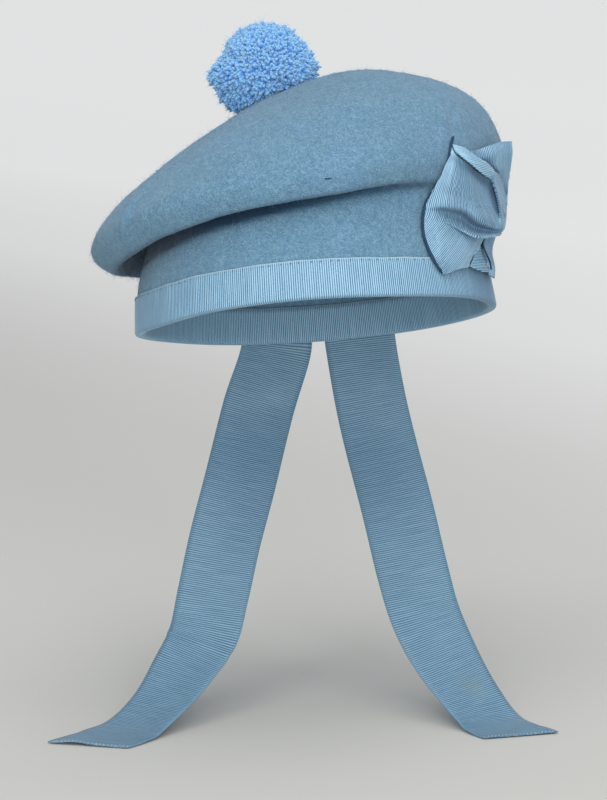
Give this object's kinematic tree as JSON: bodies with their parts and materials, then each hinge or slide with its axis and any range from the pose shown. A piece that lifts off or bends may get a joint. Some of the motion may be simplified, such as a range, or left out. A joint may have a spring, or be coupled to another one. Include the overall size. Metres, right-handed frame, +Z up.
{
  "type": "balmoral bonnet",
  "caption": "Felted wool balmoral bonnet with a wide soft crown pulled to one side, grosgrain rim binding, two hanging ribbon tails, a folded ribbon cockade and a cut-yarn pompom",
  "frame": {"origin": "middle of the head opening, where the bonnet sits on a head", "axes": "+Z up as worn, -Y the front of the bonnet, +X the wearer's left"},
  "size_m": [0.2586, 0.2199, 0.3604],
  "materials": {
    "felt": "knitted and felted wool, napped, matt",
    "ribbon": "grosgrain ribbon, ribbed, soft sheen",
    "yarn": "cut wool yarn"
  },
  "bodies": {
    "root": {"felt_crown": "felt", "rim_binding": "ribbon", "ribbon_tail_left": "ribbon", "ribbon_tail_right": "ribbon", "cockade_front": "ribbon", "cockade_back": "ribbon", "toorie": "yarn"}
  },
  "joints": []
}
